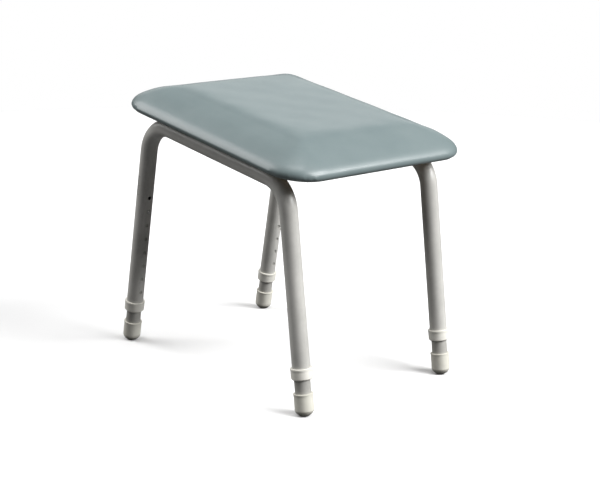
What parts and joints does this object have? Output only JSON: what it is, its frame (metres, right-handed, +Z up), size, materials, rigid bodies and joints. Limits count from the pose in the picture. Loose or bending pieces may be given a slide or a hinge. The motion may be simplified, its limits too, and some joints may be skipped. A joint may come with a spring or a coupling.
{
  "type": "shower stool",
  "caption": "Backless padded shower stool with a forward-sloping vinyl seat, two bent-tube side frames and height-adjustable legs with snap buttons and rubber feet.",
  "frame": {"origin": "on the floor under the middle of the stool, at its lowest height setting", "axes": "+X to the front, where the seat is lower; +Y to the sitter's left; +Z up"},
  "size_m": [0.4988, 0.385, 0.464],
  "materials": {
    "vinyl": "satin coated fabric with a fine grain",
    "foam": "open-cell foam",
    "plywood": "lacquered plywood",
    "zinc_steel": "bright zinc plate",
    "grey_nylon": "moulded nylon",
    "powder_coat": "satin powder coat, light warm grey",
    "inner_coat": "satin powder coat, slightly worn by sliding",
    "collar_plastic": "moulded, off-white",
    "ferrule_rubber": "off-white moulded rubber",
    "spring_steel": "blued spring steel"
  },
  "bodies": {
    "frame": {"seat_cover": "vinyl", "seat_foam": "foam", "edge_foam": "foam", "seat_board": "plywood", "cover_staples": "zinc_steel", "seat_nuts": "zinc_steel", "seat_bolts": "zinc_steel", "bolt_saddles": "grey_nylon", "seat_spacers": "grey_nylon", "left_frame_tube": "powder_coat", "right_frame_tube": "powder_coat", "front_cross_tube": "powder_coat", "rear_cross_tube": "powder_coat", "front_left_collar": "collar_plastic", "front_right_collar": "collar_plastic", "rear_left_collar": "collar_plastic", "rear_right_collar": "collar_plastic"},
    "front_left_leg": {"front_left_inner_leg": "inner_coat", "front_left_ferrule": "ferrule_rubber", "front_left_washer": "zinc_steel", "front_left_spring": "spring_steel"},
    "front_left_snap": {"front_left_button": "zinc_steel"},
    "front_right_leg": {"front_right_inner_leg": "inner_coat", "front_right_ferrule": "ferrule_rubber", "front_right_washer": "zinc_steel", "front_right_spring": "spring_steel"},
    "front_right_snap": {"front_right_button": "zinc_steel"},
    "rear_left_leg": {"rear_left_inner_leg": "inner_coat", "rear_left_ferrule": "ferrule_rubber", "rear_left_washer": "zinc_steel", "rear_left_spring": "spring_steel"},
    "rear_left_snap": {"rear_left_button": "zinc_steel"},
    "rear_right_leg": {"rear_right_inner_leg": "inner_coat", "rear_right_ferrule": "ferrule_rubber", "rear_right_washer": "zinc_steel", "rear_right_spring": "spring_steel"},
    "rear_right_snap": {"rear_right_button": "zinc_steel"}
  },
  "joints": [
    {"name": "front_left_extend", "type": "slide", "parent": "frame", "child": "front_left_leg", "axis": [0.1426, 0, -0.9898], "range_m": [0, 0.1524]},
    {"name": "front_left_press", "type": "slide", "parent": "front_left_leg", "child": "front_left_snap", "axis": [0.9898, 0, 0.1426], "range_m": [0, 0.005], "stiffness_N_per_m": 600, "springref_m": -0.004, "deforming": ["front_left_spring"]},
    {"name": "front_right_extend", "type": "slide", "parent": "frame", "child": "front_right_leg", "axis": [0.1426, 0, -0.9898], "range_m": [0, 0.1524]},
    {"name": "front_right_press", "type": "slide", "parent": "front_right_leg", "child": "front_right_snap", "axis": [0.9898, 0, 0.1426], "range_m": [0, 0.005], "stiffness_N_per_m": 600, "springref_m": -0.004, "deforming": ["front_right_spring"]},
    {"name": "rear_left_extend", "type": "slide", "parent": "frame", "child": "rear_left_leg", "axis": [-0.1736, 0, -0.9848], "range_m": [0, 0.1524]},
    {"name": "rear_left_press", "type": "slide", "parent": "rear_left_leg", "child": "rear_left_snap", "axis": [-0.9848, 0, 0.1736], "range_m": [0, 0.005], "stiffness_N_per_m": 600, "springref_m": -0.004, "deforming": ["rear_left_spring"]},
    {"name": "rear_right_extend", "type": "slide", "parent": "frame", "child": "rear_right_leg", "axis": [-0.1736, 0, -0.9848], "range_m": [0, 0.1524]},
    {"name": "rear_right_press", "type": "slide", "parent": "rear_right_leg", "child": "rear_right_snap", "axis": [-0.9848, 0, 0.1736], "range_m": [0, 0.005], "stiffness_N_per_m": 600, "springref_m": -0.004, "deforming": ["rear_right_spring"]}
  ]
}
